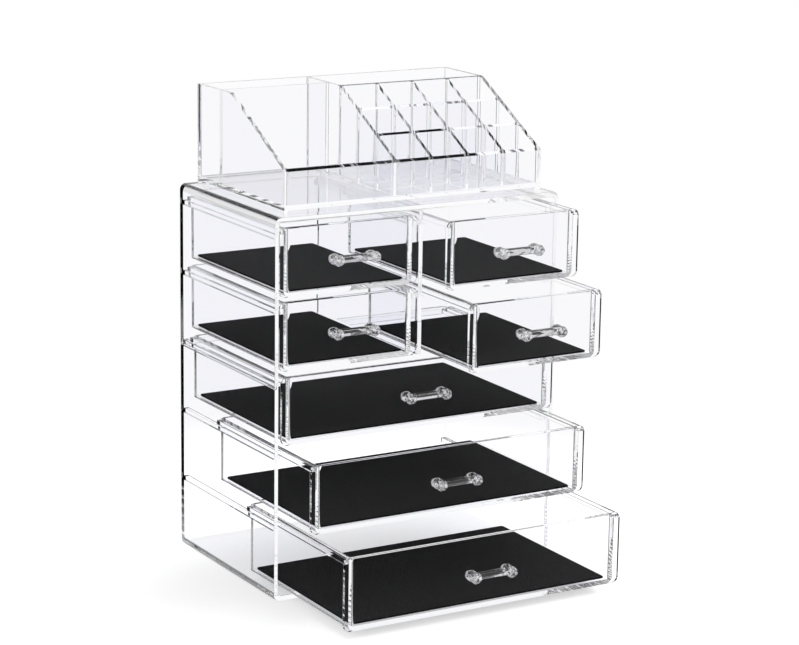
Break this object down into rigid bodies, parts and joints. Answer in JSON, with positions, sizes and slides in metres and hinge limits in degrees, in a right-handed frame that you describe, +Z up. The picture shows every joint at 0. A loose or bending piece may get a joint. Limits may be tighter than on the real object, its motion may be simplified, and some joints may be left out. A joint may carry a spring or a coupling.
{
  "type": "makeup organizer",
  "caption": "Clear cosmetics organizer: stacked case halves with small and wide hanging drawers, dark felt liners and a stepped lipstick tray that lifts off the top.",
  "frame": {"origin": "centre of the flat underside of the lower case", "axes": "+Z up, the drawers open towards -Y, and the open bin of the tray is on the -X side"},
  "size_m": [0.24, 0.267, 0.3609],
  "materials": {
    "acrylic": "polished clear",
    "felt": "matt"
  },
  "bodies": {
    "lower_case": {"lower_case": "acrylic"},
    "upper_case": {"upper_case": "acrylic", "centre_divider": "acrylic"},
    "top_tray": {"top_tray": "acrylic"},
    "drawer_1_left": {"drawer_1_left": "acrylic", "handle_1_left": "acrylic", "liner_1_left": "felt"},
    "drawer_1_right": {"drawer_1_right": "acrylic", "handle_1_right": "acrylic", "liner_1_right": "felt"},
    "drawer_2_left": {"drawer_2_left": "acrylic", "handle_2_left": "acrylic", "liner_2_left": "felt"},
    "drawer_2_right": {"drawer_2_right": "acrylic", "handle_2_right": "acrylic", "liner_2_right": "felt"},
    "drawer_3": {"drawer_3": "acrylic", "handle_3": "acrylic", "liner_3": "felt"},
    "drawer_4": {"drawer_4": "acrylic", "handle_4": "acrylic", "liner_4": "felt"},
    "drawer_5": {"drawer_5": "acrylic", "handle_5": "acrylic", "liner_5": "felt"}
  },
  "joints": [
    {"name": "upper_case_lift", "type": "slide", "parent": "lower_case", "child": "upper_case", "axis": [0, 0, 1], "range_m": [0, 0.06]},
    {"name": "top_tray_lift", "type": "slide", "parent": "upper_case", "child": "top_tray", "axis": [0, 0, 1], "range_m": [0, 0.06]},
    {"name": "drawer_1_left_slide", "type": "slide", "parent": "upper_case", "child": "drawer_1_left", "axis": [0, -1, 0], "range_m": [0, 0.12]},
    {"name": "drawer_1_right_slide", "type": "slide", "parent": "upper_case", "child": "drawer_1_right", "axis": [0, -1, 0], "range_m": [-0.033, 0.087]},
    {"name": "drawer_2_left_slide", "type": "slide", "parent": "upper_case", "child": "drawer_2_left", "axis": [0, -1, 0], "range_m": [0, 0.12]},
    {"name": "drawer_2_right_slide", "type": "slide", "parent": "upper_case", "child": "drawer_2_right", "axis": [0, -1, 0], "range_m": [-0.0655, 0.0545]},
    {"name": "drawer_3_slide", "type": "slide", "parent": "lower_case", "child": "drawer_3", "axis": [0, -1, 0], "range_m": [-0.004, 0.116]},
    {"name": "drawer_4_slide", "type": "slide", "parent": "lower_case", "child": "drawer_4", "axis": [0, -1, 0], "range_m": [-0.049, 0.071]},
    {"name": "drawer_5_slide", "type": "slide", "parent": "lower_case", "child": "drawer_5", "axis": [0, -1, 0], "range_m": [-0.098, 0.022]}
  ]
}
